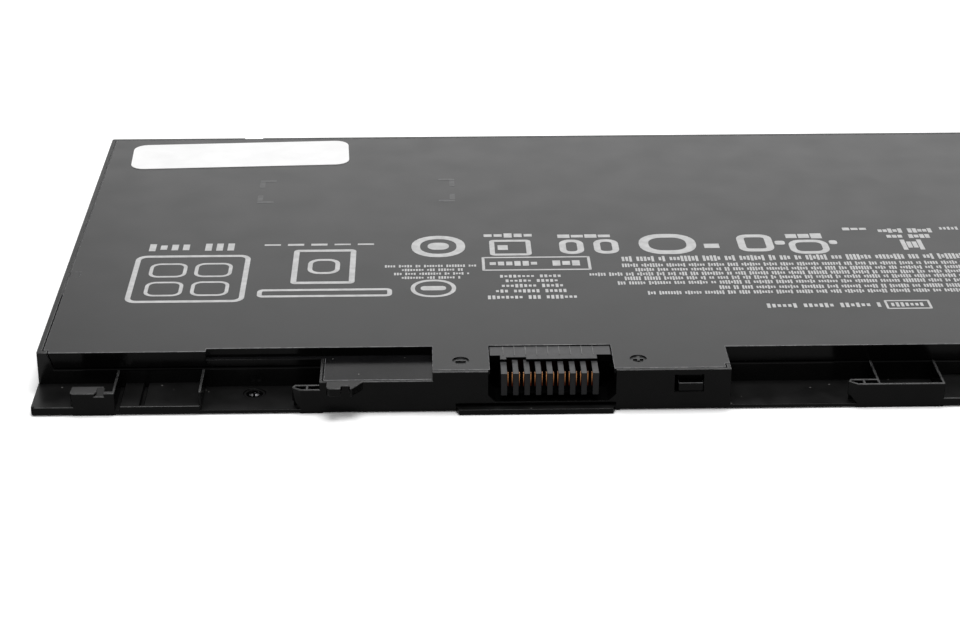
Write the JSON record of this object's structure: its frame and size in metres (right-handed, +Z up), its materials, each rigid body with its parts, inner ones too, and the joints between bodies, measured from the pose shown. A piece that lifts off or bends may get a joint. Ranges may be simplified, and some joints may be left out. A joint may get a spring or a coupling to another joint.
{
  "type": "laptop battery",
  "caption": "Thin wide black battery pack for a notebook computer, with a moulded front edge of ribs and hooks round an open comb connector.",
  "frame": {"origin": "middle of the underside of the whole pack's bounding box", "axes": "+X to the right along the width, +Y back from the connector edge, +Z up from the underside to the labelled face"},
  "size_m": [0.27, 0.1246, 0.0079],
  "materials": {
    "case_plastic": "satin moulded plastic, black",
    "cover_plastic": "satin moulded plastic, black",
    "connector_plastic": "moulded glass filled nylon, dark grey",
    "contact_metal": "copper alloy, plated",
    "screw_steel": "zinc plated steel",
    "sticker_paper": "white paper, satin",
    "pouch_foil": "laminated aluminium foil",
    "tab_metal": "plain metal strip",
    "nickel_strip": "nickel strip",
    "board_laminate": "glass epoxy laminate with green lacquer",
    "chip_resin": "moulded epoxy",
    "fuse_ceramic": "ceramic body",
    "capacitor_ceramic": "ceramic body",
    "thermistor_resin": "resin bead",
    "lead_copper": "tinned copper wire",
    "insulating_sheet": "pressed insulating paper",
    "tape": "double-sided tissue tape",
    "foam": "closed-cell foam",
    "label_ink": "screen printed light grey ink"
  },
  "bodies": {
    "root": {"bottom_case": "case_plastic", "top_cover": "cover_plastic", "connector_housing": "connector_plastic", "contact_1": "contact_metal", "contact_2": "contact_metal", "contact_3": "contact_metal", "contact_4": "contact_metal", "contact_5": "contact_metal", "contact_6": "contact_metal", "contact_7": "contact_metal", "contact_8": "contact_metal", "captive_screw_left": "screw_steel", "captive_screw_right": "screw_steel", "blank_sticker": "sticker_paper", "cell_1": "pouch_foil", "cell_2": "pouch_foil", "cell_3": "pouch_foil", "cell_4": "pouch_foil", "positive_tab_1": "tab_metal", "positive_tab_2": "tab_metal", "positive_tab_3": "tab_metal", "positive_tab_4": "tab_metal", "negative_tab_1": "tab_metal", "negative_tab_2": "tab_metal", "negative_tab_3": "tab_metal", "negative_tab_4": "tab_metal", "link_strip_1": "nickel_strip", "link_strip_2": "nickel_strip", "link_strip_3": "nickel_strip", "end_strip_positive": "nickel_strip", "end_strip_negative": "nickel_strip", "protection_board": "board_laminate", "gauge_chip": "chip_resin", "charge_switch": "chip_resin", "discharge_switch": "chip_resin", "cutoff_fuse": "fuse_ceramic", "sense_resistor": "chip_resin", "filter_capacitors": "capacitor_ceramic", "thermistor": "thermistor_resin", "thermistor_leads": "lead_copper", "board_insulator": "insulating_sheet", "cell_tape_1": "tape", "cell_tape_2": "tape", "cell_tape_3": "tape", "cell_tape_4": "tape", "foam_pad_1": "foam", "foam_pad_2": "foam", "foam_pad_3": "foam", "foam_pad_4": "foam"}
  },
  "joints": []
}
